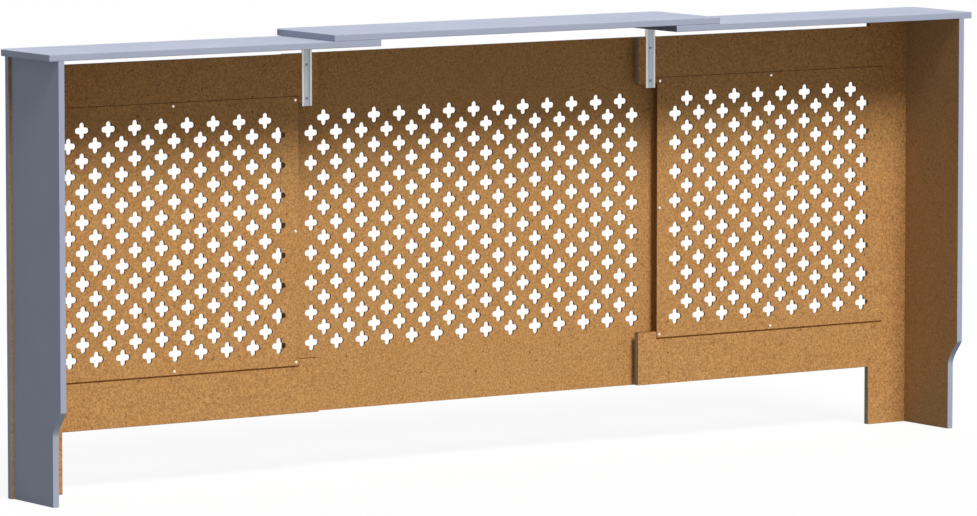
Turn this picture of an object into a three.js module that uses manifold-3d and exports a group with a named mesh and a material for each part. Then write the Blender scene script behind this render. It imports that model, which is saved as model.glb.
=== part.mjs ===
import * as THREE from "three";
import { mergeVertices } from "three/addons/utils/BufferGeometryUtils.js";
import Module from "manifold-3d";

// Extendable radiator cover cabinet, in millimetres, +Z up. The front faces -Y, the wall side +Y and the
// length runs along X. The origin is on the floor, in the middle of the cabinet's length and depth. Two
// mirror-image side units slide under a high shelf and behind a centre panel, and are drawn pulled out.

// ---------------------------------------------------------------- driving dimensions

const LENGTH = 2034;             // over the ends of the low shelves, pulled out
const DEPTH = 208;               // wall side to the front of the high shelf
const HEIGHT = 815;              // floor to the top of the high shelf
const BOARD = 12;                // fibreboard thickness
const SHEET = 4;                 // lattice sheet thickness
const CORNER_R = 18;             // rounded front corners of the shelves, in plan

// Side units, along the length.
const POST_LIP = 6;              // front frame past the side panel
const POST_WIDTH = 106;
const OPENING_WIDTH = 479.5;     // of the front frame
const STILE_WIDTH = 20;          // narrow upright at the opening's inner side
const TAB_LENGTH = 43;           // rails past the narrow upright

// Side units, up the height.
const TOE_SPACE = 112;           // floor to the bottom rail
const BOTTOM_RAIL = 100;
const TOP_RAIL = 89;
const TOP_SLOT = 21;             // top rail to the low shelf, where warm air leaves
const NOTCH = { depth: 28, full: 125, start: 172 };   // for the skirting board, rounded from full to start

// Shelves, past what they cover.
const LOW_OVERHANG = { front: 6, end: 18 };    // of the side frame, and of the side panel
const HIGH_OVERHANG = { front: 8, end: 10 };   // of the centre panel
const SHELF_LAP = 100;                         // high shelf over each low shelf

// Centre unit.
const PANEL_GAP = 10;            // side frames to the back of the centre panel
const PANEL_LAP = 16.5;          // centre panel over the narrow upright
const PANEL_DROP = 1;            // centre panel below the side frames' rails
const PANEL_STILE = 36;
const BATTEN = { width: 14, inset: 10 };

// Lattice: cross-shaped holes on a square grid with every second place left closed.
const GRID_STEP = 27.5;
const CROSS = { reach: 15, crotch: 8.2 };     // arm tip, and corner between arms, from the hole's centre
const GRID_SHIFT = { out: 2.75, up: -1.75 };  // lattice off the middle of its opening
const SHEET_LAP = { rail: 11.5, post: 31 };   // side sheet past the opening, in the frame's rebate

// Metal parts and dowels.
const BRACKET = {
  fromTabEnd: 25.5, width: 21, plate: 1.8, edge: 1, edgeWidth: 4, drop: 116.5, leg: 60, bend: 3,
};
const HANGER = { width: 15, plate: 2, drop: 103, flange: 18, bend: 2.5, clear: { left: 1, right: 23.5 } };
const DOWEL = { radius: 3, deep: 20, shallow: 8 };
const SIDE_DOWEL_HEIGHTS = [262, 600];
const SHELF_DOWELS = { fromRear: 44, fromFrame: 32 };

// Fits.
const REBATE_FIT = 0.5;          // round a lattice sheet in its rebate
const GLIDE_FIT = 0.3;           // batten to the side frames
const BORE_FIT = 0.15;           // round a dowel
const BORE_END = 1;              // beyond the tip of a dowel

// ---------------------------------------------------------------- levels and planes

const LOW_SHELF_TOP = HEIGHT - BOARD;
const CARCASS_TOP = LOW_SHELF_TOP - BOARD;
const RAILS = {
  low: TOE_SPACE,
  openLow: TOE_SPACE + BOTTOM_RAIL,
  openHigh: CARCASS_TOP - TOP_SLOT - TOP_RAIL,
  high: CARCASS_TOP - TOP_SLOT,
};
const PANEL = Object.fromEntries(Object.entries(RAILS).map(([level, z]) => [level, z - PANEL_DROP]));

const REAR = DEPTH / 2;
const PANEL_BACK = BOARD + HIGH_OVERHANG.front - REAR;
const FRAME_FRONT = PANEL_BACK + PANEL_GAP;
const FRAME_BACK = FRAME_FRONT + BOARD;

// Distances outward from the middle of the length.
const SHELF_END = LENGTH / 2;
const SIDE_OUTER = SHELF_END - LOW_OVERHANG.end;
const SIDE_MIDDLE = SIDE_OUTER - BOARD / 2;
const POST_OUTER = SIDE_OUTER + POST_LIP;
const POST_INNER = POST_OUTER - POST_WIDTH;
const STILE_OUTER = POST_INNER - OPENING_WIDTH;
const STILE_INNER = STILE_OUTER - STILE_WIDTH;
const TAB_END = STILE_INNER - TAB_LENGTH;
const BRACKET_X = TAB_END + BRACKET.fromTabEnd;
const PANEL_END = STILE_INNER + PANEL_LAP;
const PANEL_OPENING_END = PANEL_END - PANEL_STILE;
const HIGH_SHELF_END = PANEL_END + HIGH_OVERHANG.end;
const SHELF_INNER = HIGH_SHELF_END - SHELF_LAP;
const BATTEN_INNER = PANEL_END - BATTEN.width;
const HANGER_X = {
  left: -(BATTEN_INNER - HANGER.clear.left - HANGER.width / 2),
  right: BATTEN_INNER - HANGER.clear.right - HANGER.width / 2,
};

// ---------------------------------------------------------------- finishes

const finish = (color, roughness, metalness) => (
  new THREE.MeshStandardMaterial({ color, roughness, metalness }));
const PAINTED = finish(0xb4bacd, 0.45, 0);
const RAW_BOARD = finish(0xb08048, 0.85, 0);
const STEEL = finish(0xb9bcc0, 0.35, 0.9);
const BEECH = finish(0xc9a26b, 0.7, 0);

// ---------------------------------------------------------------- geometry helpers

const wasm = await Module();
wasm.setup();

// A closed solid from a geometry whose shared vertices are merged.
function solid(geometry) {
  const bare = geometry.clone();
  bare.deleteAttribute("normal");
  bare.deleteAttribute("uv");
  const merged = mergeVertices(bare, 1e-4);
  return new wasm.Manifold(new wasm.Mesh({
    numProp: 3,
    vertProperties: new Float32Array(merged.attributes.position.array),
    triVerts: new Uint32Array(merged.index.array),
  }));
}

function toGeometry(body) {
  const { vertProperties, triVerts } = body.getMesh();
  const geometry = new THREE.BufferGeometry();
  geometry.setAttribute("position", new THREE.BufferAttribute(vertProperties, 3));
  geometry.setIndex(new THREE.BufferAttribute(triVerts, 1));
  return geometry;
}

function cut(geometry, tools) {
  return toGeometry(tools.reduce((body, tool) => body.subtract(solid(tool)), solid(geometry)));
}

function join(geometries) {
  return toGeometry(geometries.map(solid).reduce((body, next) => body.add(next)));
}

function block(x, y, z) {
  const sides = [x, y, z].map(([from, to]) => Math.abs(to - from));
  return new THREE.BoxGeometry(...sides).translate((x[0] + x[1]) / 2, (y[0] + y[1]) / 2, (z[0] + z[1]) / 2);
}

function polygon(points, Kind = THREE.Shape) {
  return new Kind(points.map(([x, y]) => new THREE.Vector2(x, y)));
}

function rectangle(x, z, Kind = THREE.Shape) {
  return polygon([[x[0], z[0]], [x[1], z[0]], [x[1], z[1]], [x[0], z[1]]], Kind);
}

// A plate standing in the XZ plane: its shape's x and y become X and Z, and its thickness runs to -Y.
function standingPlate(shape, rear, thickness) {
  const plate = new THREE.ExtrudeGeometry(shape, { depth: thickness, bevelEnabled: false });
  return plate.rotateX(Math.PI / 2).translate(0, rear, 0);
}

// A profile in the YZ plane, extruded along X about its middle.
function crossProfile(shape, middle, width, curveSegments) {
  const strip = new THREE.ExtrudeGeometry(shape, { depth: width, bevelEnabled: false, curveSegments });
  return strip.rotateX(Math.PI / 2).rotateZ(Math.PI / 2).translate(middle - width / 2, 0, 0);
}

// A shelf lying in the XY plane, with the front corners at the named ends rounded.
function shelfBoard(x0, x1, front, underside, { roundStart, roundEnd }) {
  const shape = new THREE.Shape();
  shape.moveTo(x1, REAR);
  shape.lineTo(x0, REAR);
  if (roundStart) shape.absarc(x0 + CORNER_R, front + CORNER_R, CORNER_R, Math.PI, 1.5 * Math.PI, false);
  else shape.lineTo(x0, front);
  if (roundEnd) shape.absarc(x1 - CORNER_R, front + CORNER_R, CORNER_R, 1.5 * Math.PI, 2 * Math.PI, false);
  else shape.lineTo(x1, front);
  shape.closePath();
  const board = new THREE.ExtrudeGeometry(shape, { depth: BOARD, bevelEnabled: false, curveSegments: 6 });
  return board.translate(0, 0, underside);
}

// ---------------------------------------------------------------- dowels

const FORWARD = new THREE.Vector3(0, -1, 0);
const UP = new THREE.Vector3(0, 0, 1);

// A round bar that crosses a joint plane at a point. Its deep part reaches back against the direction.
function crossingBar({ point, direction }, radius, deep, shallow) {
  const cylinder = new THREE.CylinderGeometry(radius, radius, deep + shallow, 8);
  cylinder.translate(0, (shallow - deep) / 2, 0);
  const turn = new THREE.Quaternion().setFromUnitVectors(new THREE.Vector3(0, 1, 0), direction);
  return cylinder.applyQuaternion(turn).translate(point.x, point.y, point.z);
}

const dowel = (joint) => crossingBar(joint, DOWEL.radius, DOWEL.deep, DOWEL.shallow);
const dowelBore = (joint) => crossingBar(
  joint, (DOWEL.radius + BORE_FIT) / Math.cos(Math.PI / 8), DOWEL.deep + BORE_END, DOWEL.shallow + BORE_END);

// Side panel to front frame.
const frameJoints = (side) => SIDE_DOWEL_HEIGHTS.map((z) => (
  { point: new THREE.Vector3(side * SIDE_MIDDLE, FRAME_BACK, z), direction: FORWARD }));

// Side panel to low shelf.
const SHELF_DOWEL_DEPTHS = [REAR - SHELF_DOWELS.fromRear, FRAME_BACK + SHELF_DOWELS.fromFrame];
const panelTopJoints = (side) => SHELF_DOWEL_DEPTHS.map((y) => (
  { point: new THREE.Vector3(side * SIDE_MIDDLE, y, CARCASS_TOP), direction: UP }));

// Post of the front frame to low shelf.
const postTopJoint = (side) => {
  const x = side * (POST_INNER + POST_OUTER) / 2;
  return { point: new THREE.Vector3(x, FRAME_BACK - BOARD / 2, CARCASS_TOP), direction: UP };
};

// ---------------------------------------------------------------- lattice

// One cross-shaped hole: four arms that narrow to their tips, and the corners between them.
function crossHole(x, z) {
  const corners = Array.from({ length: 8 }, (_, i) => {
    const radius = i % 2 === 0 ? CROSS.reach : CROSS.crotch;
    const angle = (i * Math.PI) / 4;
    return [x + radius * Math.cos(angle), z + radius * Math.sin(angle)];
  });
  return polygon(corners, THREE.Path);
}

// As many whole crosses as an opening holds, in staggered rows that start and end alike.
function latticeHoles(middleX, middleZ, width, height) {
  const reach = Math.floor((width - 2 * CROSS.reach) / (2 * GRID_STEP));
  const rows = 1 + Math.floor((height - 2 * CROSS.reach) / GRID_STEP);
  const top = middleZ + ((rows - 1) * GRID_STEP) / 2;
  const holes = [];
  for (let row = 0; row < rows; row += 1) {
    const ends = row % 2 === 0 ? reach - 1 : reach;
    for (let column = -ends; column <= ends; column += 2) {
      holes.push(crossHole(middleX + column * GRID_STEP, top - row * GRID_STEP));
    }
  }
  return holes;
}

// ---------------------------------------------------------------- metal angles

// An angle profile in the YZ plane, whose corner touches a rear plane and a shelf's underside. Its flange
// runs by reach along y, so the sign of reach says which way.
function angleProfile({ y, top, drop, reach, plate, bend }) {
  const way = Math.sign(reach);
  const inner = y + way * plate;
  const shape = new THREE.Shape();
  shape.moveTo(y, top - drop);
  shape.lineTo(inner, top - drop);
  shape.lineTo(inner, top - plate - bend);
  shape.quadraticCurveTo(inner, top - plate, inner + way * bend, top - plate);
  shape.lineTo(y + reach, top - plate);
  shape.lineTo(y + reach, top);
  shape.lineTo(y, top);
  shape.closePath();
  return shape;
}

// ---------------------------------------------------------------- side units, side = 1 right or -1 left

function sidePanel(side) {
  const notch = REAR - NOTCH.depth;
  const bend = (NOTCH.full + NOTCH.start) / 2;
  const shape = new THREE.Shape();
  shape.moveTo(FRAME_BACK, 0);
  shape.lineTo(notch, 0);
  shape.lineTo(notch, NOTCH.full);
  shape.bezierCurveTo(notch, bend, REAR, bend, REAR, NOTCH.start);
  shape.lineTo(REAR, CARCASS_TOP);
  shape.lineTo(FRAME_BACK, CARCASS_TOP);
  shape.closePath();
  const panel = crossProfile(shape, side * SIDE_MIDDLE, BOARD, 8);
  return cut(panel, [...frameJoints(side), ...panelTopJoints(side)].map(dowelBore));
}

function sideFrame(side) {
  const outline = polygon([
    [POST_OUTER, 0], [POST_OUTER, CARCASS_TOP], [POST_INNER, CARCASS_TOP], [POST_INNER, RAILS.high],
    [TAB_END, RAILS.high], [TAB_END, RAILS.openHigh], [STILE_INNER, RAILS.openHigh],
    [STILE_INNER, RAILS.openLow], [TAB_END, RAILS.openLow], [TAB_END, RAILS.low], [POST_INNER, RAILS.low],
    [POST_INNER, 0],
  ].map(([x, z]) => [side * x, z]));
  const opening = block([side * STILE_OUTER, side * POST_INNER], [FRAME_FRONT - 1, FRAME_BACK + 1],
    [RAILS.openLow, RAILS.openHigh]);
  const rebate = block(
    [side * (STILE_INNER - REBATE_FIT), side * (POST_INNER + SHEET_LAP.post + REBATE_FIT)],
    [FRAME_BACK - SHEET, FRAME_BACK + 1],
    [RAILS.openLow - SHEET_LAP.rail - REBATE_FIT, RAILS.openHigh + SHEET_LAP.rail + REBATE_FIT]);
  const bores = [...frameJoints(side), postTopJoint(side)].map(dowelBore);
  return cut(standingPlate(outline, FRAME_BACK, BOARD), [opening, rebate, ...bores]);
}

function sideSheet(side) {
  const sheet = rectangle([side * STILE_INNER, side * (POST_INNER + SHEET_LAP.post)],
    [RAILS.openLow - SHEET_LAP.rail, RAILS.openHigh + SHEET_LAP.rail]);
  const middleX = side * ((STILE_OUTER + POST_INNER) / 2 + GRID_SHIFT.out);
  const middleZ = (RAILS.openLow + RAILS.openHigh) / 2 + GRID_SHIFT.up;
  sheet.holes = latticeHoles(middleX, middleZ, OPENING_WIDTH, RAILS.openHigh - RAILS.openLow);
  return standingPlate(sheet, FRAME_BACK, SHEET);
}

function lowShelf(side) {
  const ends = side > 0 ? [SHELF_INNER, SHELF_END] : [-SHELF_END, -SHELF_INNER];
  const board = shelfBoard(...ends, FRAME_FRONT - LOW_OVERHANG.front, CARCASS_TOP,
    { roundStart: side < 0, roundEnd: side > 0 });
  return cut(board, [...panelTopJoints(side), postTopJoint(side)].map(dowelBore));
}

// The leg lies on the tab of the top rail, the flange under the low shelf. Both have raised edges.
function bracket(side) {
  const { width, plate, edge, edgeWidth, drop, leg, bend } = BRACKET;
  const seat = { y: FRAME_BACK, top: CARCASS_TOP, drop, reach: leg, bend };
  const middle = side * BRACKET_X;
  const strip = crossProfile(angleProfile({ ...seat, plate }), middle, width, 3);
  const edges = [-1, 1].map((hand) => crossProfile(
    angleProfile({ ...seat, plate: plate + edge }), middle + (hand * (width - edgeWidth)) / 2, edgeWidth, 3));
  return join([strip, ...edges]);
}

// ---------------------------------------------------------------- centre unit

function centreSheet() {
  const sheet = rectangle([-PANEL_END, PANEL_END], [PANEL.low, PANEL.high]);
  const middleZ = (PANEL.openLow + PANEL.openHigh) / 2 + GRID_SHIFT.up;
  sheet.holes = latticeHoles(0, middleZ, 2 * PANEL_OPENING_END, PANEL.openHigh - PANEL.openLow);
  return standingPlate(sheet, PANEL_BACK, SHEET);
}

function centreFrame() {
  const frame = rectangle([-PANEL_END, PANEL_END], [PANEL.low, PANEL.high]);
  frame.holes = [rectangle(
    [-PANEL_OPENING_END, PANEL_OPENING_END], [PANEL.openLow, PANEL.openHigh], THREE.Path)];
  return standingPlate(frame, PANEL_BACK - SHEET, BOARD - SHEET);
}

function highShelf() {
  return shelfBoard(-HIGH_SHELF_END, HIGH_SHELF_END, -REAR, LOW_SHELF_TOP,
    { roundStart: true, roundEnd: true });
}

// Fills the gap behind an end of the centre panel, and runs along the rails of the side frame.
function glideBatten(side) {
  return block([side * PANEL_END, side * BATTEN_INNER], [PANEL_BACK, FRAME_FRONT - GLIDE_FIT],
    [PANEL.low + BATTEN.inset, PANEL.high - BATTEN.inset]);
}

// The leg lies on the back of the centre panel, the flange runs forward under the high shelf.
function hanger(x) {
  const { width, plate, drop, flange, bend } = HANGER;
  const profile = angleProfile(
    { y: PANEL_BACK + plate, top: LOW_SHELF_TOP, drop, reach: -flange - plate, plate, bend });
  return crossProfile(profile, x, width, 3);
}

// ---------------------------------------------------------------- assembly

// Each mesh keeps flat faces: its triangles share no vertices.
function add(group, name, geometry, material) {
  const faceted = geometry.index ? geometry.toNonIndexed() : geometry;
  faceted.computeVertexNormals();
  const mesh = new THREE.Mesh(faceted, material);
  mesh.name = name;
  group.add(mesh);
}

function sideUnit(side, label) {
  const unit = new THREE.Group();
  add(unit, `${label}_side_panel`, sidePanel(side), PAINTED);
  add(unit, `${label}_front_frame`, sideFrame(side), RAW_BOARD);
  add(unit, `${label}_lattice_sheet`, sideSheet(side), RAW_BOARD);
  add(unit, `${label}_low_shelf`, lowShelf(side), PAINTED);
  add(unit, `${label}_angle_bracket`, bracket(side), STEEL);
  frameJoints(side).forEach((joint, i) => add(unit, `${label}_post_dowel_${i + 1}`, dowel(joint), BEECH));
  [...panelTopJoints(side), postTopJoint(side)].forEach((joint, i) => {
    add(unit, `${label}_shelf_dowel_${i + 1}`, dowel(joint), BEECH);
  });
  return unit;
}

function centreUnit() {
  const unit = new THREE.Group();
  add(unit, "centre_front_frame", centreFrame(), PAINTED);
  add(unit, "centre_lattice_sheet", centreSheet(), RAW_BOARD);
  add(unit, "high_shelf", highShelf(), PAINTED);
  add(unit, "left_glide_batten", glideBatten(-1), RAW_BOARD);
  add(unit, "right_glide_batten", glideBatten(1), RAW_BOARD);
  add(unit, "left_hanger", hanger(HANGER_X.left), STEEL);
  add(unit, "right_hanger", hanger(HANGER_X.right), STEEL);
  return unit;
}

const cabinet = new THREE.Group();
cabinet.add(centreUnit(), sideUnit(-1, "left"), sideUnit(1, "right"));

export default cabinet;
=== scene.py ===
"""Looks of an extendable radiator cover cabinet: painted boards, lattice sheets, fittings and fasteners.

Lengths are in metres. The front faces -Y, the wall side +Y, and the length runs along X. Two side units,
which mirror each other, slide along X under the high shelf and behind the front panel of the centre unit.
"""

import logging
import math
from collections.abc import Callable, Iterator, Sequence
from contextlib import contextmanager
from dataclasses import dataclass
from enum import Enum

import bmesh
import bpy
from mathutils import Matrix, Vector


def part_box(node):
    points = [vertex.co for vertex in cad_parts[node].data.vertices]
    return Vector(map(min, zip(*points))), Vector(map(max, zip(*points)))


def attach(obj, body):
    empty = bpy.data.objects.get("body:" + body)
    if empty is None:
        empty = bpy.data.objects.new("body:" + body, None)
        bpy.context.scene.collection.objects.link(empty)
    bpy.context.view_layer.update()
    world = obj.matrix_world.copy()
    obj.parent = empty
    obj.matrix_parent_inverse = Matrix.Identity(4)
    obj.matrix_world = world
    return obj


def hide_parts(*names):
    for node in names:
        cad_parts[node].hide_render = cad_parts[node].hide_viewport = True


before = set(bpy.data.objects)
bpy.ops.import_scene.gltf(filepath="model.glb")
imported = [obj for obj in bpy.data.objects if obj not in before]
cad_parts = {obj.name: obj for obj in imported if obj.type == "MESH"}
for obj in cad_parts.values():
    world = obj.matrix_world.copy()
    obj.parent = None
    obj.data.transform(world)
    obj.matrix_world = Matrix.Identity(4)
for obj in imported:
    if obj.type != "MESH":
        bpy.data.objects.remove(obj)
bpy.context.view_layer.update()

log = logging.getLogger("radiator_cover")

FaceTest = Callable[[Vector, Vector], bool]
EdgeTest = Callable[[Vector, Vector], bool]
Colour = tuple[float, float, float, float]
Place = Sequence[float]
Socket = bpy.types.NodeSocket

NEAR = 1e-4  # how close a face or an edge lies to the place that it is picked by
SAME = 1e-5  # how close two points lie that are meant to be one

# How far a face's normal turns to an axis: 1 is square to it.
FLAT = 0.9
TURNED = 0.7
STEEP = 0.5
SLIGHT = 0.05


# ---- modelling


class Bench:
    """One mesh object and the modelling operators that shape it."""

    def __init__(self, piece: bpy.types.Object) -> None:
        """Takes the object that is worked on.

        Args:
            piece: A mesh object at the origin, with its place in its mesh.
        """
        self.piece = piece

    @classmethod
    def block(cls, name: str, corner: Place, opposite: Place) -> "Bench":
        """Adds a cube primitive that fills the box between two opposite corners.

        Args:
            name: Name of the new object.
            corner: Any corner of the box.
            opposite: The corner opposite to it.

        Returns:
            The bench with the new block on it.
        """
        low = Vector(map(min, corner, opposite))
        high = Vector(map(max, corner, opposite))
        bpy.ops.object.select_all(action="DESELECT")
        bpy.ops.mesh.primitive_cube_add(size=1, location=(low + high) / 2, scale=high - low)
        return cls._placed(name)

    @classmethod
    def disc(cls, name: str, radius: float, height: float, sides: int) -> "Bench":
        """Adds a cylinder primitive that stands on the origin.

        Args:
            name: Name of the new object.
            radius: Radius of the cylinder.
            height: Its height along Z.
            sides: Number of side faces.

        Returns:
            The bench with the new cylinder on it.
        """
        bpy.ops.object.select_all(action="DESELECT")
        bpy.ops.mesh.primitive_cylinder_add(
            vertices=sides, radius=radius, depth=height, location=(0, 0, height / 2))
        return cls._placed(name)

    @classmethod
    def _placed(cls, name: str) -> "Bench":
        """Names the active object and puts its place into its mesh.

        Args:
            name: The object's new name.

        Returns:
            The bench with the object on it.
        """
        piece = bpy.context.active_object
        piece.name = piece.data.name = name
        bench = cls(piece)
        bench.settle()
        return bench

    def activate(self) -> None:
        """Makes this the only selected object, and the active one."""
        bpy.ops.object.select_all(action="DESELECT")
        self.piece.select_set(True)
        bpy.context.view_layer.objects.active = self.piece

    def settle(self) -> None:
        """Moves the object's place, turn and scale into its mesh."""
        self.activate()
        bpy.ops.object.transform_apply(location=True, rotation=True, scale=True)

    @contextmanager
    def editing(self) -> Iterator[None]:
        """Keeps the mesh in edit mode while the block under it runs.

        Yields:
            Nothing, once the mesh is in edit mode.
        """
        self.activate()
        bpy.ops.object.mode_set(mode="EDIT")
        yield
        bpy.ops.object.mode_set(mode="OBJECT")

    def pick_faces(self, wanted: FaceTest) -> None:
        """Selects faces in edit mode.

        Args:
            wanted: Says of a face's middle and normal whether it is taken.
        """
        bpy.ops.mesh.select_mode(type="FACE")
        bpy.ops.mesh.select_all(action="DESELECT")
        mesh = bmesh.from_edit_mesh(self.piece.data)
        mesh.normal_update()
        for face in mesh.faces:
            face.select_set(wanted(face.calc_center_median(), face.normal))
        bmesh.update_edit_mesh(self.piece.data)

    def pick_edges(self, wanted: EdgeTest) -> None:
        """Selects edges in edit mode.

        Args:
            wanted: Says of an edge's two ends whether it is taken.
        """
        bpy.ops.mesh.select_mode(type="EDGE")
        bpy.ops.mesh.select_all(action="DESELECT")
        mesh = bmesh.from_edit_mesh(self.piece.data)
        for edge in mesh.edges:
            edge.select_set(wanted(edge.verts[0].co, edge.verts[1].co))
        bmesh.update_edit_mesh(self.piece.data)

    def slice(self, axis: str, *places: float) -> None:
        """Cuts new edges all round the mesh, square to an axis, in edit mode.

        Args:
            axis: "X", "Y" or "Z".
            places: Where the cuts cross that axis.
        """
        normal = Vector([float(axis == name) for name in "XYZ"])
        for place in places:
            bpy.ops.mesh.select_all(action="SELECT")
            bpy.ops.mesh.bisect(plane_co=normal * place, plane_no=normal)

    @staticmethod
    def extrude(*offsets: Place) -> None:
        """Extrudes the selected faces in edit mode, once for each offset."""
        for offset in offsets:
            bpy.ops.mesh.extrude_region_move(TRANSFORM_OT_translate={"value": offset})

    @staticmethod
    def round_off(radius: float, segments: int) -> None:
        """Rounds the selected edges in edit mode."""
        bpy.ops.mesh.bevel(offset=radius, segments=segments, affect="EDGES", clamp_overlap=True)

    def apply(self, kind: str, **settings: object) -> None:
        """Adds a modifier, sets it and applies it.

        Args:
            kind: The modifier's type.
            settings: Its properties by name.
        """
        self.activate()
        modifier = self.piece.modifiers.new(kind.title(), kind)
        for name, value in settings.items():
            setattr(modifier, name, value)
        bpy.ops.object.modifier_apply(modifier=modifier.name)

    def soften(self, width: float, segments: int = 2) -> None:
        """Takes the sharpness off every hard edge."""
        self.apply("BEVEL", width=width, segments=segments, limit_method="ANGLE",
                   angle_limit=math.radians(50))

    def repeat(self, count: int, step: Place) -> None:
        """Repeats the mesh in a row, with each copy one step further."""
        self.apply("ARRAY", count=count, use_relative_offset=False, use_constant_offset=True,
                   constant_offset_displace=step)

    def carve(self, *cutters: "Bench") -> None:
        """Cuts the shapes of other benches out of this one.

        Args:
            cutters: The benches to cut with, which are used up.
        """
        for cutter in cutters:
            self.apply("BOOLEAN", operation="DIFFERENCE", solver="MANIFOLD", object=cutter.piece)
            bpy.data.objects.remove(cutter.piece)

    def absorb(self, others: Sequence["Bench"]) -> None:
        """Joins the meshes of other benches into this one.

        Args:
            others: The benches to join, which are used up.
        """
        self.activate()
        for other in others:
            other.piece.select_set(True)
        bpy.ops.object.join()

    def shade(self, angle: float = 40) -> None:
        """Shades the mesh smooth, and keeps flat faces flat.

        Args:
            angle: The angle in degrees from which an edge stays sharp.
        """
        self.activate()
        bpy.ops.object.shade_smooth_by_angle(angle=math.radians(angle))
        self.apply("WEIGHTED_NORMAL", keep_sharp=True)

    def paint(self, base: "Finish", *coats: tuple["Finish", FaceTest]) -> None:
        """Gives the mesh its base finish, and other finishes on chosen faces.

        Args:
            base: Finish of every face that no coat takes.
            coats: Pairs of a finish and the test for its faces.
        """
        self.piece.data.materials.clear()
        for finish in (base, *(coat for coat, _ in coats)):
            self.piece.data.materials.append(finish.material())
        with self.editing():
            bpy.ops.mesh.select_all(action="SELECT")
            self.piece.active_material_index = 0
            bpy.ops.object.material_slot_assign()
            for index, (_, wanted) in enumerate(coats, start=1):
                self.pick_faces(wanted)
                self.piece.active_material_index = index
                bpy.ops.object.material_slot_assign()

    def hand_over(self, body: str, slot: str, *nodes: str) -> None:
        """Lets the finished piece ride on its body and stand for its solids.

        Args:
            body: The body that it moves with.
            slot: Name of a material slot; not used.
            nodes: The solids that it replaces.
        """
        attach(self.piece, body)
        if nodes:
            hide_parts(*nodes)
        log.info("%s rides on %s: %d faces", self.piece.name, body, len(self.piece.data.polygons))


# ---- finishes


class Sheet:
    """A node tree that is filled node by node."""

    MIX_SHARE, MIX_FIRST, MIX_SECOND = 0, 6, 7  # a Mix node's inputs when it mixes colours
    MIXED = 2  # its output

    def __init__(self, tree: bpy.types.NodeTree) -> None:
        """Takes an empty node tree."""
        self.tree = tree

    def node(self, kind: str, inputs: dict[str | int, object] | None = None,
             **settings: object) -> bpy.types.Node:
        """Adds a node, sets it and joins it up.

        Args:
            kind: The node's type, without its ShaderNode prefix.
            inputs: A value, or the output socket to link, for each input by name or number.
            settings: The node's own properties by name.

        Returns:
            The new node.
        """
        made = self.tree.nodes.new(kind if kind.startswith("Node") else "ShaderNode" + kind)
        for name, value in settings.items():
            setattr(made, name, value)
        for name, value in (inputs or {}).items():
            if isinstance(value, Socket):
                self.tree.links.new(value, made.inputs[name])
            else:
                made.inputs[name].default_value = value
        return made

    def noise(self, vector: Socket, scale: Socket, detail: float, roughness: float = 0.5) -> Socket:
        """Adds a noise texture on a vector and returns its value."""
        made = self.node("TexNoise", {
            "Vector": vector, "Scale": scale, "Detail": detail, "Roughness": roughness})
        return made.outputs["Fac"]

    def spread(self, value: Socket, low: float, high: float,
               to_low: float = 0.0, to_high: float = 1.0) -> Socket:
        """Stretches the values between two limits to a new range and returns the result."""
        made = self.node("MapRange", {
            "Value": value, "From Min": low, "From Max": high, "To Min": to_low, "To Max": to_high})
        return made.outputs["Result"]

    def ramp(self, value: Socket, at_zero: float, at_one: float) -> Socket:
        """Turns a value from 0 to 1 into one between two numbers and returns the result."""
        return self.spread(value, 0.0, 1.0, at_zero, at_one)

    def blend(self, share: Socket, first: Socket | Colour, second: Colour, how: str = "MIX") -> Socket:
        """Mixes two colours by a share and returns the mixed colour."""
        made = self.node("Mix", {self.MIX_SHARE: share, self.MIX_FIRST: first, self.MIX_SECOND: second},
                         data_type="RGBA", blend_type=how)
        return made.outputs[self.MIXED]


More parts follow.
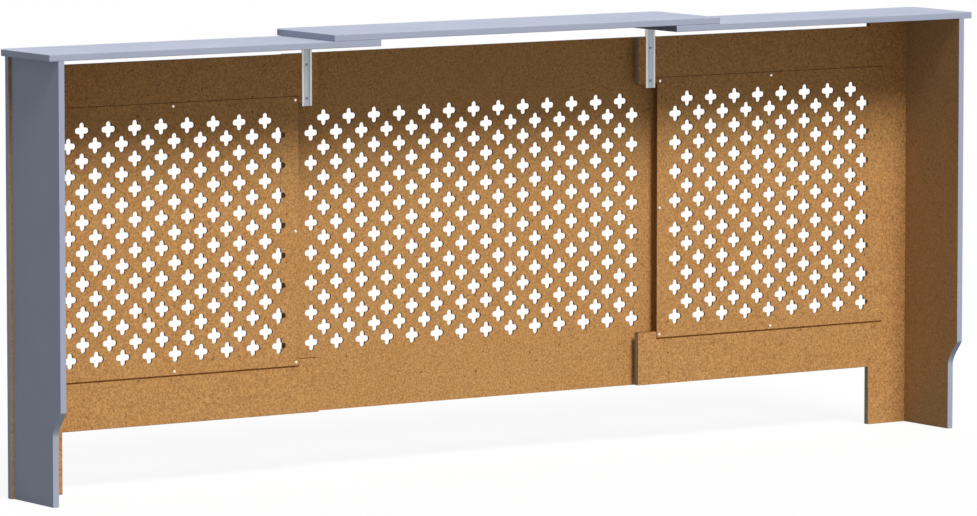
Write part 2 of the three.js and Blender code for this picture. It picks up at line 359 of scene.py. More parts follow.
class SharedPattern:
    """Patterns that several finishes use, as node groups that are built once."""

    FIBRES = "pressed_fibres"
    HAZE = "uneven_haze"
    PULL = (0.004, 0.004, 0.004)  # how far the fibres wander

    # The span of noise that each pattern spreads from 0 to 1.
    FIBRE_BAND = (0.33, 0.67)
    FLECK_BAND = (0.64, 0.72)
    PATCH_BAND = (0.32, 0.68)
    HAZE_BAND = (0.3, 0.7)

    @classmethod
    def group(cls, name: str) -> bpy.types.NodeTree:
        """Returns the named node group, and builds it the first time."""
        found = bpy.data.node_groups.get(name)
        return found or (cls._fibres() if name == cls.FIBRES else cls._haze())

    @staticmethod
    def _open(name: str, sizes: dict[str, float], outputs: Sequence[str]) -> tuple[Sheet, bpy.types.Node]:
        """Starts a node group with a vector input, number inputs and number outputs.

        Args:
            name: The group's name.
            sizes: Name and starting value of each number input.
            outputs: Name of each output.

        Returns:
            The group's sheet and its input node.
        """
        tree = bpy.data.node_groups.new(name, "ShaderNodeTree")
        tree.interface.new_socket("Vector", in_out="INPUT", socket_type="NodeSocketVector")
        for label, value in sizes.items():
            made = tree.interface.new_socket(label, in_out="INPUT", socket_type="NodeSocketFloat")
            made.default_value = value
        for label in outputs:
            tree.interface.new_socket(label, in_out="OUTPUT", socket_type="NodeSocketFloat")
        sheet = Sheet(tree)
        return sheet, sheet.node("NodeGroupInput")

    @classmethod
    def _fibres(cls) -> bpy.types.NodeTree:
        """Fine fibres, dark flecks and broad patches of pressed wood, each from 0 to 1.

        Returns:
            The node group.
        """
        sheet, start = cls._open(
            cls.FIBRES, {"Fibre Scale": 420.0, "Fleck Scale": 150.0, "Patch Scale": 9.0},
            ("Fibres", "Flecks", "Patches"))
        vector = start.outputs["Vector"]
        warp = sheet.node("TexNoise", {
            "Vector": vector, "Scale": start.outputs["Fleck Scale"], "Detail": 2.0})
        pull = sheet.node("VectorMath", {0: warp.outputs["Color"], 1: cls.PULL}, operation="MULTIPLY")
        drawn = sheet.node("VectorMath", {0: vector, 1: pull.outputs[0]}, operation="ADD")
        fibres = sheet.noise(drawn.outputs[0], start.outputs["Fibre Scale"], 4.0, 0.6)
        flecks = sheet.noise(vector, start.outputs["Fleck Scale"], 3.0, 0.6)
        patches = sheet.noise(vector, start.outputs["Patch Scale"], 4.0, 0.55)
        sheet.node("NodeGroupOutput", {
            "Fibres": sheet.spread(fibres, *cls.FIBRE_BAND),
            "Flecks": sheet.spread(flecks, *cls.FLECK_BAND),
            "Patches": sheet.spread(patches, *cls.PATCH_BAND)})
        return sheet.tree

    @classmethod
    def _haze(cls) -> bpy.types.NodeTree:
        """A soft unevenness from 0 to 1, and the fine ripple of a sprayed or rolled surface.

        Returns:
            The node group.
        """
        sheet, start = cls._open(cls.HAZE, {"Haze Scale": 14.0, "Ripple Scale": 900.0}, ("Haze", "Ripple"))
        vector = start.outputs["Vector"]
        haze = sheet.noise(vector, start.outputs["Haze Scale"], 5.0, 0.6)
        ripple = sheet.noise(vector, start.outputs["Ripple Scale"], 2.0)
        sheet.node("NodeGroupOutput", {"Haze": sheet.spread(haze, *cls.HAZE_BAND), "Ripple": ripple})
        return sheet.tree


class Surface(Sheet):
    """The node tree of one material, with the place that it reads and the shader that it feeds."""

    def __init__(self, tree: bpy.types.NodeTree, roughness: float, gloss: float) -> None:
        """Starts a material's nodes.

        Args:
            tree: The material's empty node tree.
            roughness: The shader's roughness, until something feeds it.
            gloss: How strongly it reflects.
        """
        super().__init__(tree)
        self.place = self.node("TexCoord").outputs["Object"]
        self.shader = self.node("BsdfPrincipled", {"Roughness": roughness, "Specular IOR Level": gloss})
        self.node("OutputMaterial", {"Surface": self.shader.outputs[0]})

    def feed(self, name: str, value: Socket) -> None:
        """Links a value to one of the shader's inputs."""
        self.tree.links.new(value, self.shader.inputs[name])

    def relief(self, height: Socket, depth: float) -> None:
        """Presses a height pattern into the surface, to a depth in metres."""
        bump = self.node("Bump", {"Height": height, "Strength": 1.0, "Distance": depth})
        self.feed("Normal", bump.outputs["Normal"])

    def stretched(self, scale: Place) -> Socket:
        """Returns the place, scaled along each axis."""
        return self.node("Mapping", {"Vector": self.place, "Scale": scale}).outputs[0]

    def pattern(self, name: str, place: Socket, **scales: float) -> dict[str, Socket]:
        """Places a shared pattern, with scales of its own.

        Args:
            name: Which shared pattern.
            place: The vector that it reads.
            scales: Values of its inputs, with _ for a blank.

        Returns:
            The pattern's outputs by name.
        """
        made = self.node("Group", node_tree=SharedPattern.group(name))
        self.tree.links.new(place, made.inputs["Vector"])
        for key, value in scales.items():
            made.inputs[key.replace("_", " ")].default_value = value
        return dict(made.outputs.items())


@dataclass(frozen=True)
class Finish:
    """A finish that becomes one material. The kinds of finish give it its colour and relief."""

    name: str
    roughness: float
    gloss: float

    def material(self) -> bpy.types.Material:
        """Builds the finish's material, unless it was built before.

        Returns:
            The material.
        """
        found = bpy.data.materials.get(self.name)
        if found:
            return found
        made = bpy.data.materials.new(self.name)
        made.use_nodes = True
        made.node_tree.nodes.clear()
        self.dress(Surface(made.node_tree, self.roughness, self.gloss))
        return made

    def dress(self, surface: Surface) -> None:
        """Fills in the colour, the relief and the rest of the shader."""
        raise NotImplementedError


@dataclass(frozen=True)
class SatinPaint(Finish):
    """Sprayed satin paint on fibreboard."""

    colour: Colour
    shade: Colour
    clouds: float = 0.55
    show_through: float = 0.10
    smoother: float = 0.05
    rougher: float = 0.06
    ripple: float = 0.00006

    def dress(self, surface: Surface) -> None:
        """Varies the paint a little, with the board's fibres faint under it.

        Args:
            surface: The material's nodes.
        """
        haze = surface.pattern(SharedPattern.HAZE, surface.place, Haze_Scale=11.0, Ripple_Scale=700.0)
        board = surface.pattern(SharedPattern.FIBRES, surface.place, Fibre_Scale=380.0)
        colour = surface.blend(surface.ramp(haze["Haze"], 0.0, self.clouds), self.colour, self.shade)
        colour = surface.blend(surface.ramp(board["Fibres"], self.show_through, 0.0), colour, self.shade)
        surface.feed("Base Color", colour)
        surface.feed("Roughness", surface.ramp(
            haze["Haze"], self.roughness - self.smoother, self.roughness + self.rougher))
        surface.relief(haze["Ripple"], self.ripple)


@dataclass(frozen=True)
class PressedBoard(Finish):
    """The bare face of brown fibreboard."""

    light: Colour
    dark: Colour
    fleck: Colour
    warm: Colour
    tint: float = 0.5
    haze: float = 0.16
    fleck_strength: float = 0.8
    smoother: float = 0.06
    rougher: float = 0.08
    depth: float = 0.00018

    def dress(self, surface: Surface) -> None:
        """Mixes light and dark fibres, strews dark flecks and tints broad patches.

        Args:
            surface: The material's nodes.
        """
        board = surface.pattern(SharedPattern.FIBRES, surface.place, Fibre_Scale=290.0, Fleck_Scale=140.0)
        haze = surface.pattern(SharedPattern.HAZE, surface.place, Haze_Scale=45.0, Ripple_Scale=1400.0)
        colour = surface.blend(board["Fibres"], self.dark, self.light)
        colour = surface.blend(surface.ramp(board["Patches"], 0.0, self.tint), colour, self.warm, "MULTIPLY")
        colour = surface.blend(surface.ramp(haze["Haze"], self.haze, 0.0), colour, self.dark)
        colour = surface.blend(surface.ramp(board["Flecks"], 0.0, self.fleck_strength), colour, self.fleck)
        surface.feed("Base Color", colour)
        surface.feed("Roughness", surface.ramp(
            board["Fibres"], self.roughness - self.smoother, self.roughness + self.rougher))
        surface.relief(board["Fibres"], self.depth)


@dataclass(frozen=True)
class RolledSteel(Finish):
    """Zinc-plated steel, with fine lines along the way that it was rolled."""

    light: Colour
    dark: Colour
    stretch: tuple[float, float, float] = (1.0, 1.0, 0.06)
    metal: float = 0.85
    smoother: float = 0.05
    rougher: float = 0.07
    ripple: float = 0.00003

    def dress(self, surface: Surface) -> None:
        """Draws the rolled lines into the colour, the gloss and the relief.

        Args:
            surface: The material's nodes.
        """
        haze = surface.pattern(SharedPattern.HAZE, surface.stretched(self.stretch),
                               Haze_Scale=260.0, Ripple_Scale=2600.0)
        surface.feed("Base Color", surface.blend(haze["Haze"], self.dark, self.light))
        surface.shader.inputs["Metallic"].default_value = self.metal
        surface.feed("Roughness", surface.ramp(
            haze["Haze"], self.roughness + self.rougher, self.roughness - self.smoother))
        surface.relief(haze["Ripple"], self.ripple)


@dataclass(frozen=True)
class TurnedWood(Finish):
    """Plain close-grained wood, with its grain along one axis."""

    light: Colour
    dark: Colour
    stretch: tuple[float, float, float] = (1.0, 1.0, 0.12)
    pores: float = 0.5
    depth: float = 0.00008

    def dress(self, surface: Surface) -> None:
        """Draws the grain out along the wood and strews short dark pores.

        Args:
            surface: The material's nodes.
        """
        grain = surface.pattern(SharedPattern.FIBRES, surface.stretched(self.stretch),
                                Fibre_Scale=620.0, Fleck_Scale=400.0)
        colour = surface.blend(grain["Fibres"], self.dark, self.light)
        colour = surface.blend(surface.ramp(grain["Flecks"], 0.0, self.pores), colour, self.dark)
        surface.feed("Base Color", colour)
        surface.relief(grain["Fibres"], self.depth)


PAINT = SatinPaint("pale_blue_grey_paint", 0.72, 0.02,
                   colour=(0.49, 0.53, 0.648, 1), shade=(0.455, 0.49, 0.614, 1))
# Dark blue-grey paint for a low shelf's inner end: painted shade of the deep shadow under the high shelf.
SHADE_PAINT = SatinPaint("shelf_end_painted_shade", 0.8, 0.05,
                        colour=(0.22, 0.26, 0.34, 1), shade=(0.19, 0.22, 0.30, 1))
RAW = PressedBoard("bare_fibreboard", 0.82, 0.35,
                   light=(0.85, 0.455, 0.157, 1), dark=(0.43, 0.208, 0.063, 1),
                   fleck=(0.15, 0.062, 0.02, 1), warm=(0.97, 0.88, 0.82, 1))
# Bare board made darker and less red for the side panels' inner faces and the frame's lip: painted shade.
SHADED_PANEL_BOARD = PressedBoard("bare_side_panel_painted_shade", 0.85, 0.3,
                           light=(0.58, 0.365, 0.165, 1), dark=(0.375, 0.215, 0.085, 1),
                           fleck=(0.15, 0.08, 0.03, 1), warm=(0.97, 0.92, 0.88, 1))
# Brown-grey for the inward ends of the frames: a thinly sprayed edge, darkened further as painted shade.
SHADED_SPRAYED_EDGE = PressedBoard("oversprayed_tab_end_painted_shade", 0.85, 0.1,
                            light=(0.46, 0.40, 0.30, 1), dark=(0.28, 0.24, 0.18, 1),
                            fleck=(0.12, 0.09, 0.05, 1), warm=(0.97, 0.92, 0.88, 1))
# Dark brown for recessed and shaded edges: bare board darkened as painted shade.
SHADED_BARE_EDGE = PressedBoard("bare_edge_painted_shade", 0.9, 0.1,
                         light=(0.30, 0.14, 0.045, 1), dark=(0.16, 0.07, 0.02, 1),
                         fleck=(0.08, 0.035, 0.012, 1), warm=(0.97, 0.88, 0.82, 1))
STEEL = RolledSteel("zinc_plated_steel", 0.45, 0.5,
                    light=(0.82, 0.81, 0.77, 1), dark=(0.70, 0.69, 0.67, 1))
PRESSED_STEEL = RolledSteel("zinc_plated_steel_channel", 0.5, 0.5,
                            light=(0.57, 0.61, 0.66, 1), dark=(0.46, 0.50, 0.56, 1))
BRIGHT_STEEL = RolledSteel("bright_nail_steel", 0.34, 0.5,
                           light=(1.0, 0.95, 0.84, 1), dark=(0.92, 0.86, 0.74, 1))
DARK_STEEL = RolledSteel("dark_screw_steel", 0.4, 0.5,
                         light=(0.34, 0.36, 0.41, 1), dark=(0.22, 0.23, 0.27, 1))
BEECH = TurnedWood("beech", 0.6, 0.4, light=(0.62, 0.40, 0.22, 1), dark=(0.48, 0.28, 0.14, 1))


# ---- fasteners


class Facing(Enum):
    """The way that a fastener's head looks, as its turn about X."""

    WALL = -math.pi / 2
    FLOOR = math.pi


@dataclass(frozen=True)
class Fastener:
    """A screw or nail head that is modelled once and copied to its places."""

    name: str
    radius: float
    height: float
    finish: Finish
    recess: float = 0.0
    sides: int = 20
    dome: float = 0.85  # share of the height that is rounded
    recess_floor: float = 0.45  # share of the height that stays under the recess
    recess_width: float = 0.25  # as a share of the radius

    def model(self) -> Bench:
        """Models one head on the origin, looking up.

        Returns:
            The bench with the head on it.
        """
        head = Bench.disc(self.name, self.radius, self.height, self.sides)
        with head.editing():
            head.pick_edges(lambda a, b: min(a.z, b.z) > self.height - NEAR)
            head.round_off(self.height * self.dome, segments=4)
        if self.recess:
            half = self.radius * self.recess_width / 2
            for turn in (0.0, math.pi / 2):
                slot = Bench.block("slot", (-self.recess, -half, self.height * self.recess_floor),
                                   (self.recess, half, self.height * 2))
                slot.piece.rotation_euler.z = turn
                slot.settle()
                head.carve(slot)
        head.shade(angle=30)
        return head

    def fit(self, name: str, places: Sequence[tuple[Place, Facing]]) -> Bench:
        """Copies the head to its places and joins the copies.

        Args:
            name: Name of the joined piece.
            places: The point that each head stands on, and the way it looks.

        Returns:
            The bench with all the heads on it, dressed.
        """
        master = self.model()
        copies = []
        for point, facing in places:
            master.activate()
            bpy.ops.object.duplicate(linked=False)
            copy = Bench(bpy.context.active_object)
            copy.piece.rotation_euler.x = facing.value
            copy.piece.location = point
            copy.settle()
            copies.append(copy)
        bpy.data.objects.remove(master.piece)
        joined, *rest = copies
        joined.absorb(rest)
        joined.piece.name = joined.piece.data.name = name
        joined.paint(self.finish)
        return joined


PANEL_NAIL = Fastener("panel_nail", radius=0.0027, height=0.0010, finish=BRIGHT_STEEL)
PAN_SCREW = Fastener("pan_screw", radius=0.0025, height=0.0015, finish=DARK_STEEL, recess=0.0016)


# ---- boards and fittings


@dataclass(frozen=True)
class Levels:
    """Heights of a pair of rails, with the opening from open_low to open_high between them."""

    low: float
    open_low: float
    open_high: float
    high: float

    def on_rail(self, z: float) -> bool:
        """Says whether a height lies on one of the rails."""
        return self.low < z < self.open_low or self.open_high < z < self.high


@dataclass(frozen=True)
class Lattice:
    """Rows of cross-shaped holes with rounded arms, every second place left closed."""

    middle: float
    top: float
    reach: int
    rows: int = 16
    step: float = 0.0275
    arm_width: float = 0.0108
    arm_reach: float = 0.0145
    tip_radius: float = 0.0047
    corner_radius: float = 0.0018

    def cross(self, x: float, z: float, y: float, thickness: float) -> Bench:
        """Models the solid cross that cuts one hole.

        Args:
            x: Middle of the hole along the length.
            z: Middle of the hole in height.
            y: Middle of the sheet's thickness.
            thickness: Thickness of the sheet.

        Returns:
            The bench with the cross on it, longer than the sheet is thick.
        """
        half, deep, centre = self.arm_width / 2, thickness, Vector((x, y, z))
        cross = Bench.block("cross", (x - half, y - deep, z - half), (x + half, y + deep, z + half))
        with cross.editing():
            for way in (Vector((1, 0, 0)), Vector((-1, 0, 0)), Vector((0, 0, 1)), Vector((0, 0, -1))):
                cross.pick_faces(lambda middle, normal, way=way: (
                    normal.dot(way) > FLAT and (middle - centre).cross(way).length < SAME))
                cross.extrude(way * (self.arm_reach - half))
            cross.pick_edges(lambda a, b: self.runs_through(a, b) and (
                max(abs(a.x - x), abs(a.z - z)) > self.arm_reach - NEAR))
            cross.round_off(self.tip_radius, segments=4)
            cross.pick_edges(lambda a, b: self.runs_through(a, b) and (
                abs(abs(a.x - x) - half) + abs(abs(a.z - z) - half) < SAME))
            cross.round_off(self.corner_radius, segments=2)
        return cross

    @staticmethod
    def runs_through(a: Vector, b: Vector) -> bool:
        """Says whether an edge runs square through the sheet."""
        return abs(a.x - b.x) + abs(a.z - b.z) < SAME < abs(a.y - b.y)

    def pierce(self, sheet: Bench, y: float, thickness: float) -> None:
        """Cuts all the holes through a sheet: short rows first, then the long rows between them.

        Args:
            sheet: The bench with the plain sheet on it.
            y: Middle of the sheet's thickness.
            thickness: Its thickness.
        """
        for shift, places in ((self.reach - 1, self.reach), (self.reach, self.reach + 1)):
            drop = shift - self.reach + 1
            start = self.cross(self.middle - shift * self.step, self.top - drop * self.step, y, thickness)
            start.repeat(places, (2 * self.step, 0, 0))
            start.repeat(self.rows // 2, (0, 0, -2 * self.step))
            sheet.carve(start)


@dataclass
class LatticeSheet:
    """A thin sheet with its lattice: bare on the wall side, painted on the front."""

    node: str
    body: str
    lattice: Lattice
    corner_radius: float = 0.003

    def build(self) -> None:
        """Models the sheet, cuts the lattice and dresses it."""
        low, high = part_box(self.node)
        sheet = Bench.block(f"{self.node}_board", low, high)
        with sheet.editing():
            sheet.pick_edges(Lattice.runs_through)
            sheet.round_off(self.corner_radius, segments=4)
        self.lattice.pierce(sheet, (low.y + high.y) / 2, high.y - low.y)
        sheet.shade()
        # The hole walls and the sheet's edges take a dark brown: bare board darkened as painted shade.
        sheet.paint(RAW, (PAINT, lambda _, normal: normal.y < -FLAT),
                    (SHADED_BARE_EDGE, lambda _, normal: abs(normal.y) < STEEP))
        sheet.hand_over(self.body, "raw_board", self.node)


@dataclass
class Shelf:
    """A shelf board with rounded front corners, painted all over, with dark paint on an inner end as painted
    shade.
    """

    node: str
    body: str
    round_ends: tuple[int, ...]
    corner_radius: float = 0.018
    edge: float = 0.0011

    def build(self) -> None:
        """Models the board, rounds its corners and edges and dresses it."""
        low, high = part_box(self.node)
        middle = (low.x + high.x) / 2
        shelf = Bench.block(f"{self.node}_board", low, high)
        with shelf.editing():
            shelf.pick_edges(lambda a, b: abs(a.z - b.z) > NEAR and a.y < low.y + NEAR and (
                (1 if a.x > middle else -1) in self.round_ends))
            shelf.round_off(self.corner_radius, segments=12)
        shelf.soften(self.edge, segments=3)
        shelf.shade()
        inner = -sum(self.round_ends)  # 0 where both ends are outer ones
        # The inner end of a low shelf takes dark paint as painted shade under the high shelf.
        shelf.paint(PAINT, (SHADE_PAINT, lambda _, normal: normal.x * inner > TURNED))
        shelf.hand_over(self.body, "painted_board", self.node)


@dataclass
class FlatAngle:
    """A bent steel strip with its screws: a leg on a board's wall side and a flange under a shelf."""

    node: str
    body: str
    plate: float
    bend: float
    flange_way: int
    rib: float = 0.0
    rib_width: float = 0.004
    edge: float = 0.0003

    def build(self) -> None:
        """Models the strip, folds its flange out, rounds the bend, raises its ribs and dresses it."""
        low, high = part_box(self.node)
        way, top = self.flange_way, high.z - self.plate
        heel = low.y if way > 0 else high.y
        inner = heel + way * self.plate
        tip = high.y if way > 0 else low.y
        strip = Bench.block(f"{self.node}_strip", (low.x, heel, low.z), (high.x, inner, high.z))
        with strip.editing():
            strip.slice("Z", top)
            strip.pick_faces(lambda middle, normal: normal.y * way > FLAT and middle.z > top)
            strip.extrude((0, tip - inner, 0))
            strip.pick_edges(lambda a, b: all(
                abs(p.y - inner) < SAME and abs(p.z - top) < SAME for p in (a, b)))
            strip.round_off(self.bend, segments=5)
            channel = (low.x + self.rib_width, high.x - self.rib_width) if self.rib else (0.0, 0.0)
            if self.rib:
                strip.slice("X", *channel)
                strip.pick_faces(lambda middle, normal: (
                    (normal.y * way > SLIGHT or normal.z < -SLIGHT) and abs(normal.x) < SLIGHT
                    and not channel[0] < middle.x < channel[1]
                    and abs(middle.y - tip) > NEAR and middle.z > low.z + NEAR))
                bpy.ops.mesh.extrude_region_shrink_fatten(
                    TRANSFORM_OT_shrink_fatten={"value": self.rib})
        strip.soften(self.edge)
        strip.shade()
        strip.paint(STEEL, (PRESSED_STEEL, lambda middle, normal: (
            channel[0] < middle.x < channel[1] and (normal.y * way > STEEP or normal.z < -STEEP))))
        strip.hand_over(self.body, "steel", self.node)

    def fix(self, name: str, heights: Sequence[float], depths: Sequence[float]) -> None:
        """Screws the leg to its board and the flange to its shelf.

        Args:
            name: Name of the piece that all the screws make.
            heights: Heights of the screws in the leg.
            depths: How far the screws in the flange lie from the leg's far face.
        """
        low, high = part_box(self.node)
        middle, way = (low.x + high.x) / 2, self.flange_way
        face, heel = (low.y + self.plate, low.y) if way > 0 else (high.y, high.y)
        places = [((middle, face, z), Facing.WALL) for z in heights]
        places += [((middle, heel + way * depth, high.z - self.plate), Facing.FLOOR) for depth in depths]
        PAN_SCREW.fit(name, places).hand_over(self.body, "steel")


@dataclass
class PlainBatten:
    """A strip of board between the centre panel and a side unit's frame, painted on its outer edge."""

    node: str
    body: str
    edge: float = 0.0006
    set_back: float = 0.0046

    def build(self) -> None:
        """Models the batten, out of sight behind the narrow upright, and dresses it."""
        low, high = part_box(self.node)
        outward = 1 if low.x > 0 else -1
        if outward > 0:
            low.x += self.set_back
        else:
            high.x -= self.set_back
        batten = Bench.block(f"{self.node}_strip", low, high)
        batten.soften(self.edge)
        batten.shade()
        batten.paint(RAW, (PAINT, lambda _, normal: normal.x * outward > STEEP))
        batten.hand_over(self.body, "raw_board", self.node)


# ---- units


class Side(Enum):
    """The two ends of the cabinet, as seen from its front."""

    LEFT = -1
    RIGHT = 1

    @property
    def label(self) -> str:
        """The word that the names of this side's pieces start with."""
        return self.name.lower()


@dataclass
class SideUnit:
    """A side unit: side panel, front frame, lattice sheet, low shelf and angle bracket."""

    side: Side
    levels: Levels = Levels(low=0.112, open_low=0.212, open_high=0.681, high=0.770)
    post_width: float = 0.106
    post_lip: float = 0.006
    opening_width: float = 0.4795
    stile_width: float = 0.020
    tab_length: float = 0.043
    sheet_fit: float = 0.0010
    outer_fit: float = 0.0002
    lower_groove: float = 0.0034
    notch_depth: float = 0.028
    notch_full: float = 0.125
    notch_start: float = 0.172
    notch_bends: tuple[float, float] = (0.141, 0.167)
    notch_steps: int = 10
    edge: float = 0.0010
    lattice_middle: float = 0.662
    lattice_top: float = 0.651
    nail_inset: float = 0.006
    rail_screws: tuple[float, ...] = (0.7495, 0.688)
    shelf_screws: tuple[float, ...] = (0.022, 0.048)
    dowels: tuple[str, ...] = (
        "post_dowel_1", "post_dowel_2", "shelf_dowel_1", "shelf_dowel_2", "shelf_dowel_3")

    @property
    def body(self) -> str:
        """The body that this unit rides on."""
        return f"{self.side.label}_unit"

    def node(self, name: str) -> str:
        """The full name of one of this unit's solids."""
        return f"{self.side.label}_{name}"

    def build(self) -> None:
        """Builds every piece of the unit."""
        self.side_panel()
        self.front_frame()
        lattice = Lattice(middle=self.side.value * self.lattice_middle, top=self.lattice_top, reach=8)
        LatticeSheet(self.node("lattice_sheet"), self.body, lattice).build()
        Shelf(self.node("low_shelf"), self.body, (self.side.value,)).build()
        bracket = FlatAngle(self.node("angle_bracket"), self.body, plate=0.0018, bend=0.003,
                            flange_way=1, rib=0.001)
        bracket.build()
        self.nails()
        bracket.fix(self.node("bracket_screws"), self.rail_screws, self.shelf_screws)
        for name in self.dowels:
            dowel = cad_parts[self.node(name)]
            dowel.data.materials.clear()
            dowel.data.materials.append(BEECH.material())

    def side_panel(self) -> None:
        """Models the side panel: a board whose rear edge draws in to a notch for the skirting."""
        low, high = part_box(self.node("side_panel"))
        rear = high.y - self.notch_depth
        panel = Bench.block(self.node("side_panel_board"), low, (high.x, rear, high.z))
        curve = [self._notch_point(i / self.notch_steps, rear, high.y)
                 for i in range(self.notch_steps + 1)]
        with panel.editing():
            panel.slice("Z", *(z for _, z in curve))
            panel.pick_faces(lambda middle, normal: normal.y > FLAT and middle.z > self.notch_full)
            panel.extrude((0, self.notch_depth, 0))
            for y, z in curve[:-1]:
                panel.pick_edges(lambda a, b, z=z: all(
                    abs(p.y - high.y) < SAME and abs(p.z - z) < SAME for p in (a, b)))
                bpy.ops.transform.translate(value=(0, y - high.y, 0))
            bpy.ops.mesh.select_all(action="SELECT")
            bpy.ops.mesh.remove_doubles(threshold=SAME)
        panel.soften(self.edge, segments=3)
        panel.shade()
        inward = -self.side.value
        # The inner face, the top and the front take a darker, less red bare board: painted shade of the
        # cabinet's inside.
        panel.paint(PAINT, (SHADED_PANEL_BOARD, lambda _, normal: (
            normal.x * inward > FLAT or normal.z > FLAT or normal.y < -FLAT)))
        panel.hand_over(self.body, "painted_board", self.node("side_panel"))

    def _notch_point(self, t: float, rear: float, back: float) -> tuple[float, float]:
        """Works out a point of the notch's S-shaped edge.

        Args:
            t: 0 at the notch, 1 at the full depth of the panel.
            rear: Depth of the edge in the notch.
            back: Depth of the edge above it.

        Returns:
            The point's Y and Z.
        """
        shares = ((1 - t) ** 3, 3 * (1 - t) ** 2 * t, 3 * (1 - t) * t ** 2, t ** 3)
        heights = (self.notch_full, *self.notch_bends, self.notch_start)
        y = sum(share * depth for share, depth in zip(shares, (rear, rear, back, back)))
        z = sum(share * height for share, height in zip(shares, heights))
        return y, z

    def front_frame(self) -> None:
        """Models the frame: a post, two rails with tabs, a narrow upright and a rebate for the sheet."""
        low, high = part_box(self.node("front_frame"))
        sheet_low, sheet_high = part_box(self.node("lattice_sheet"))
        way = self.side.value
        post_outer = max(abs(low.x), abs(high.x))
        post_inner = post_outer - self.post_width
        stile_outer = post_inner - self.opening_width
        stile_inner = stile_outer - self.stile_width
        levels = self.levels
        board = Bench.block(self.node("front_frame_board"), (way * post_outer, low.y, low.z),
                            (way * post_inner, high.y, high.z))
        with board.editing():
            board.slice("Z", levels.low, levels.open_low, levels.open_high, levels.high)
            board.slice("X", way * (post_outer - self.post_lip))
            board.pick_faces(lambda middle, normal: normal.x * way < -FLAT and levels.on_rail(middle.z))
            board.extrude(*((-way * width, 0, 0) for width in (
                self.opening_width, self.stile_width, self.tab_length)))
            board.pick_faces(lambda middle, normal: stile_inner < abs(middle.x) < stile_outer and (
                (normal.z > FLAT and abs(middle.z - levels.open_low) < NEAR)
                or (normal.z < -FLAT and abs(middle.z - levels.open_high) < NEAR)))
            bpy.ops.mesh.bridge_edge_loops()
        board.soften(self.edge)
        fits = (self.sheet_fit, self.outer_fit)[::way]  # at the lower X, at the higher X
        rebate_low = sheet_low - Vector((fits[0], 0, self.lower_groove))
        rebate_high = sheet_high + Vector((fits[1], self.sheet_fit, self.sheet_fit))
        board.carve(Bench.block("rebate", rebate_low, rebate_high))
        board.shade()
        board.paint(
            PAINT,
            # A dim brown-grey on the inward ends of the tabs and the post: a thinly sprayed edge, darkened
            # further as painted shade of the recess beside the centre unit.
            (SHADED_SPRAYED_EDGE, lambda middle, normal: (
                normal.x * way < -TURNED and middle.z < levels.high)),
            # Dark brown on the edges between the tabs, the rails' top edges and the post's edge at the end
            # of the slot: bare board darkened as painted shade of the recess and the shelf above.
            (SHADED_BARE_EDGE, lambda middle, normal: (
                self._between_tabs(middle, normal, stile_inner)
                or (normal.z > TURNED and abs(middle.z - levels.high) < NEAR)
                or (normal.x * way < -TURNED and middle.z > levels.high))),
            (RAW, lambda middle, normal: (
                normal.y > FLAT or self._in_rebate(middle, rebate_low, rebate_high))),
            # The lip's rear face beside the side panel takes the darker bare board: painted shade of the
            # panel's shadow.
            (SHADED_PANEL_BOARD, lambda middle, normal: (
                normal.y > FLAT and abs(middle.x) > post_outer - self.post_lip)))
        board.hand_over(self.body, "raw_board", self.node("front_frame"))

    @staticmethod
    def _in_rebate(point: Vector, low: Vector, high: Vector) -> bool:
        """Says whether a point lies in or on the rebate that takes the sheet."""
        return point.y > low.y - NEAR and all(
            low[axis] - NEAR < point[axis] < high[axis] + NEAR for axis in (0, 2))

    def _between_tabs(self, point: Vector, normal: Vector, stile_inner: float) -> bool:
        """Says whether a face is one of the bare edges between the two tabs, which take painted shade."""
        reach = self.edge + NEAR
        return (abs(normal.y) < FLAT and abs(point.x) < stile_inner + NEAR
                and self.levels.open_low - reach < point.z < self.levels.open_high + reach)

    def nails(self) -> None:
        """Nails the lattice sheet down along its inner edge and in the middle of its top and bottom."""
        low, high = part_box(self.node("lattice_sheet"))
        middle = (low + high) / 2
        inner = low.x + self.nail_inset if self.side is Side.RIGHT else high.x - self.nail_inset
        bottom, top = low.z + self.nail_inset, high.z - self.nail_inset
        spots = ((inner, bottom), (inner, middle.z), (inner, top), (middle.x, bottom), (middle.x, top))
        places = [((x, high.y, z), Facing.WALL) for x, z in spots]
        PANEL_NAIL.fit(self.node("sheet_nails"), places).hand_over(self.body, "steel")


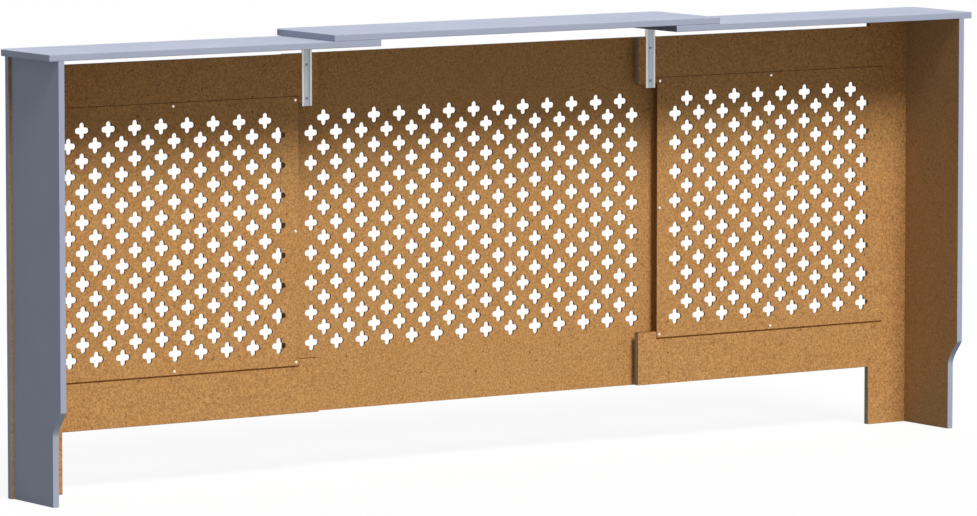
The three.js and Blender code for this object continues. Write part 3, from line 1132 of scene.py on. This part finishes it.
@dataclass
class CentreUnit:
    """The centre unit: front panel, lattice sheet, high shelf, battens and hangers."""

    body: str = "centre_unit"
    opening_half: float = 0.380
    levels: Levels = Levels(low=0.111, open_low=0.211, open_high=0.680, high=0.769)
    edge: float = 0.0010
    # How far back from the front the board's ends keep their paint; behind that they take painted shade.
    paint_before_end_shade: float = 0.0025
    lattice_top: float = 0.650
    panel_screws: tuple[float, ...] = (0.715, 0.745)
    shelf_screws: tuple[float, ...] = (0.012,)

    def build(self) -> None:
        """Builds every piece of the unit."""
        self.front_frame()
        lattice = Lattice(middle=0.0, top=self.lattice_top, reach=13)
        LatticeSheet("centre_lattice_sheet", self.body, lattice).build()
        Shelf("high_shelf", self.body, (-1, 1)).build()
        for side in Side:
            PlainBatten(f"{side.label}_glide_batten", self.body).build()
            hanger = FlatAngle(f"{side.label}_hanger", self.body, plate=0.002, bend=0.0025, flange_way=-1)
            hanger.build()
            hanger.fix(f"{side.label}_hanger_screws", self.panel_screws, self.shelf_screws)

    def front_frame(self) -> None:
        """Models the frame: a board with one wide opening, painted in front and a little round its ends,
        with painted shade on the rest of its ends and on its top edge.
        """
        low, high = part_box("centre_front_frame")
        # From bare back, the board's ends take dark brown painted shade instead of paint.
        levels, bare = self.levels, low.y + self.paint_before_end_shade
        board = Bench.block("centre_front_frame_board", low, high)
        with board.editing():
            board.slice("X", -self.opening_half, self.opening_half)
            board.slice("Y", bare)
            board.slice("Z", levels.open_low, levels.open_high)
            board.pick_faces(lambda middle, normal: (
                abs(normal.y) > FLAT and abs(middle.x) < self.opening_half
                and levels.open_low < middle.z < levels.open_high))
            bpy.ops.mesh.bridge_edge_loops()
        board.soften(self.edge)
        board.shade()
        board.paint(
            PAINT,
            (RAW, lambda _, normal: normal.y > FLAT),
            # Dark brown on the top edge and on the ends behind bare: bare board darkened as painted shade of
            # the shelf above and of the gaps at the ends.
            (SHADED_BARE_EDGE, lambda middle, normal: (
                (normal.z > TURNED and abs(middle.z - levels.high) < NEAR)
                or (middle.y > bare and not low.x + self.edge <= middle.x <= high.x - self.edge))))
        board.hand_over(self.body, "painted_board", "centre_front_frame")


# ---- studio


@dataclass
class Studio:
    """The plain pale floor, the soft light and the camera."""

    camera_place: tuple[float, float, float] = (7.0715, 10.5243, 1.6806)
    yaw: float = 0.59003
    pitch: float = -0.10224
    lens: float = 254.25
    sensor: float = 36.0
    clip_end: float = 500.0
    key_way: tuple[float, float, float] = (0.0, -0.624, -0.7815)
    key_power: float = 2.73
    key_softness: float = 0.38
    fill_way: tuple[float, float, float] = (0.25, 0.95, -0.10)
    fill_power: float = 1.9
    fill_softness: float = 0.9
    sky: float = 0.20
    sky_colour: Colour = (0.96, 0.99, 1.05, 1)
    floor_size: float = 400.0
    floor_seen: float = 0.90
    floor_bounce: Colour = (0.28, 0.285, 0.29, 1)

    def build(self) -> None:
        """Builds the stage, the lamps and the camera."""
        self.floor()
        self.world()
        self.lamp("key", self.key_way, self.key_power, self.key_softness)
        self.lamp("fill", self.fill_way, self.fill_power, self.fill_softness)
        self.camera()
        bpy.context.scene.view_settings.view_transform = "Standard"

    def floor(self) -> None:
        """Lays a floor that looks white, and still shows the object's shadow."""
        bpy.ops.object.select_all(action="DESELECT")
        bpy.ops.mesh.primitive_plane_add(size=self.floor_size)
        floor = bpy.context.active_object
        floor.name = "floor"
        made = bpy.data.materials.new("pale_floor")
        made.use_nodes = True
        made.node_tree.nodes.clear()
        sheet = Sheet(made.node_tree)
        share = 1 - self.floor_seen
        plain = sheet.node("BsdfDiffuse", {"Color": self.floor_bounce})
        shadow = sheet.node("BsdfDiffuse", {"Color": (share,) * 3 + (1,)})
        glow = sheet.node("Emission", {"Color": (1, 1, 1, 1), "Strength": self.floor_seen})
        seen = sheet.node("AddShader", {0: shadow.outputs[0], 1: glow.outputs[0]})
        mix = sheet.node("MixShader", {0: self.is_seen(sheet), 1: plain.outputs[0], 2: seen.outputs[0]})
        sheet.node("OutputMaterial", {"Surface": mix.outputs[0]})
        floor.data.materials.append(made)

    @staticmethod
    def is_seen(sheet: Sheet) -> Socket:
        """Finds out whether the camera sees this, also in a mirror or through glass.

        Args:
            sheet: The nodes that ask.

        Returns:
            The socket that gives 1 if so, and 0 for other light.
        """
        path = sheet.node("LightPath")
        first = sheet.node("Math", {0: path.outputs["Is Camera Ray"], 1: path.outputs["Is Glossy Ray"]},
                           operation="MAXIMUM")
        both = sheet.node("Math", {0: first.outputs[0], 1: path.outputs["Is Transmission Ray"]},
                          operation="MAXIMUM")
        return both.outputs[0]

    def world(self) -> None:
        """Makes the surroundings white to look at and soft as a light."""
        world = bpy.data.worlds.new("studio")
        bpy.context.scene.world = world
        world.use_nodes = True
        world.node_tree.nodes.clear()
        sheet = Sheet(world.node_tree)
        light = sheet.node("Background", {"Color": self.sky_colour, "Strength": self.sky})
        seen = sheet.node("Background", {"Color": (1, 1, 1, 1), "Strength": 1.0})
        mix = sheet.node("MixShader", {0: self.is_seen(sheet), 1: light.outputs[0], 2: seen.outputs[0]})
        sheet.node("OutputWorld", {"Surface": mix.outputs[0]})

    @staticmethod
    def lamp(name: str, way: Place, power: float, softness: float) -> None:
        """Hangs a distant lamp.

        Args:
            name: Name of the lamp.
            way: The direction that its light travels.
            power: Its strength.
            softness: The angle that it fills, in radians.
        """
        bpy.ops.object.light_add(type="SUN")
        lamp = bpy.context.active_object
        lamp.name = name
        lamp.rotation_euler = Vector(way).to_track_quat("-Z", "Y").to_euler()
        lamp.data.energy = power
        lamp.data.angle = softness

    def camera(self) -> None:
        """Sets up the camera at the photograph's viewpoint."""
        level = math.cos(self.pitch)
        view = Vector((-math.sin(self.yaw) * level, -math.cos(self.yaw) * level, math.sin(self.pitch)))
        bpy.ops.object.camera_add(location=self.camera_place)
        camera = bpy.context.active_object
        camera.name = "viewpoint"
        camera.rotation_euler = view.to_track_quat("-Z", "Y").to_euler()
        camera.data.lens = self.lens
        camera.data.sensor_width = self.sensor
        camera.data.clip_end = self.clip_end
        bpy.context.scene.camera = camera


def main() -> None:
    """Builds the cabinet's units in order, then the studio."""
    logging.basicConfig(level=logging.INFO, format="%(message)s")
    for unit in (CentreUnit(), *map(SideUnit, Side)):
        unit.build()
    Studio().build()


if __name__ == "__main__":
    main()
